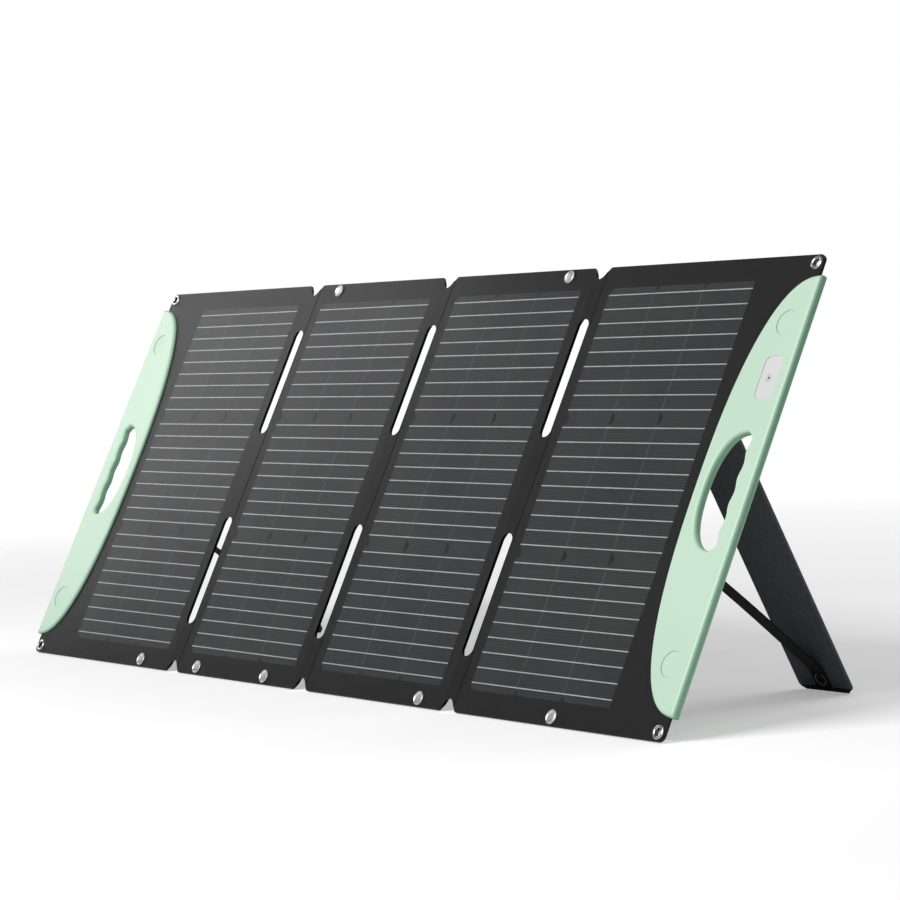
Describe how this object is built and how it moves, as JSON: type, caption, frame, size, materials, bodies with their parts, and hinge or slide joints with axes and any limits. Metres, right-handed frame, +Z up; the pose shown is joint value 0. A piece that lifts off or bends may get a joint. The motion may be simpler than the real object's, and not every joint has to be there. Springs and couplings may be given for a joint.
{
  "type": "folding solar panel",
  "caption": "Folding portable solar panel of hinged laminated leaves with carry handles at both ends, leaning back on strap-limited kickstand flaps.",
  "frame": {"origin": "centre of the footprint on the ground, midway between the ends and between the panel's lower edge and the kickstand feet", "axes": "+X along the panel, +Y from the light-catching face to the kickstands, +Z up"},
  "size_m": [1.391, 0.3736, 0.5002],
  "materials": {
    "front_film": "embossed clear fluoropolymer film over black",
    "ribbon_metal": "tinned copper ribbon",
    "silicon_cell": "black monocrystalline silicon",
    "core_board": "black glass-fibre laminate",
    "back_fabric": "woven black polyester",
    "fold_fabric": "laminated black fabric",
    "stud_metal": "satin nickel",
    "eyelet_metal": "polished nickel",
    "handle_plastic": "satin pale green moulding",
    "magnet_metal": "nickel-plated magnet",
    "screw_metal": "zinc-plated steel",
    "dial_plastic": "pale grey plastic",
    "sight_plastic": "dark plastic",
    "flap_board": "slate fabric over a stiff board",
    "foot_rubber": "black rubber",
    "snap_metal": "nickel-plated ring snap",
    "patch_fabric": "stitched black fabric",
    "strap_webbing": "black webbing",
    "box_plastic": "black moulded plastic",
    "socket_rubber": "black rubber",
    "diode_metal": "leaded component on a metal terminal"
  },
  "bodies": {
    "leaf_1": {"back_cover_leaf_1": "back_fabric", "bus_ribbons_leaf_1": "ribbon_metal", "core_board_leaf_1": "core_board", "corner_eyelets_left": "eyelet_metal", "fold_left_strips": "fold_fabric", "front_film_leaf_1": "front_film", "handle_back_shell_left": "handle_plastic", "handle_caps_left": "handle_plastic", "handle_front_shell_left": "handle_plastic", "handle_magnets_left": "magnet_metal", "handle_screws_left": "screw_metal", "press_studs_leaf_1": "stud_metal", "solar_cells_leaf_1": "silicon_cell", "stand_hinge_patch_left": "patch_fabric", "stand_strap_left": "strap_webbing", "strap_anchor_left": "patch_fabric"},
    "leaf_2": {"back_cover_leaf_2": "back_fabric", "bus_ribbons_leaf_2": "ribbon_metal", "core_board_leaf_2": "core_board", "fold_centre_strips": "fold_fabric", "front_film_leaf_2": "front_film", "press_studs_leaf_2": "stud_metal", "solar_cells_leaf_2": "silicon_cell"},
    "leaf_3": {"back_cover_leaf_3": "back_fabric", "bus_ribbons_leaf_3": "ribbon_metal", "core_board_leaf_3": "core_board", "front_film_leaf_3": "front_film", "press_studs_leaf_3": "stud_metal", "solar_cells_leaf_3": "silicon_cell"},
    "leaf_4": {"back_cover_leaf_4": "back_fabric", "bus_ribbons_leaf_4": "ribbon_metal", "bypass_diodes": "diode_metal", "core_board_leaf_4": "core_board", "corner_eyelets_right": "eyelet_metal", "dial_plate": "dial_plastic", "dial_sight": "sight_plastic", "fold_right_strips": "fold_fabric", "front_film_leaf_4": "front_film", "handle_back_shell_right": "handle_plastic", "handle_caps_right": "handle_plastic", "handle_front_shell_right": "handle_plastic", "handle_magnets_right": "magnet_metal", "handle_screws_right": "screw_metal", "junction_box_base": "box_plastic", "junction_box_lid": "box_plastic", "junction_box_screws": "screw_metal", "output_socket": "socket_rubber", "press_studs_leaf_4": "stud_metal", "solar_cells_leaf_4": "silicon_cell", "stand_hinge_patch_right": "patch_fabric", "stand_strap_right": "strap_webbing", "strap_anchor_right": "patch_fabric"},
    "stand_left": {"stand_flap_left": "flap_board", "stand_foot_left": "foot_rubber", "stand_snap_left": "snap_metal"},
    "stand_right": {"stand_flap_right": "flap_board", "stand_foot_right": "foot_rubber", "stand_snap_right": "snap_metal"}
  },
  "joints": [
    {"name": "fold_centre", "type": "hinge", "parent": "leaf_2", "child": "leaf_3", "pos_m": [0, -0.05165, 0.24877], "axis": [0, 0.4648, 0.8854], "range_deg": [0, 180], "deforming": ["fold_centre_strips"]},
    {"name": "fold_left", "type": "hinge", "parent": "leaf_2", "child": "leaf_1", "pos_m": [-0.3075, -0.05794, 0.25207], "axis": [0, 0.4648, 0.8854], "range_deg": [0, 180], "deforming": ["fold_left_strips"]},
    {"name": "fold_right", "type": "hinge", "parent": "leaf_3", "child": "leaf_4", "pos_m": [0.3075, -0.05794, 0.25207], "axis": [0, -0.4648, -0.8854], "range_deg": [0, 180], "deforming": ["fold_right_strips"]},
    {"name": "stand_left_fold", "type": "hinge", "parent": "leaf_1", "child": "stand_left", "pos_m": [-0.546, 0.00312, 0.34708], "axis": [1, 0, 0], "range_deg": [-55.45, 0], "deforming": ["stand_strap_left"]},
    {"name": "stand_right_fold", "type": "hinge", "parent": "leaf_4", "child": "stand_right", "pos_m": [0.546, 0.00312, 0.34708], "axis": [1, 0, 0], "range_deg": [-55.45, 0], "deforming": ["stand_strap_right"]}
  ],
  "couplings": [
    {"joint": "fold_left", "follows": "fold_centre", "ratio": 1},
    {"joint": "fold_right", "follows": "fold_centre", "ratio": 1}
  ]
}
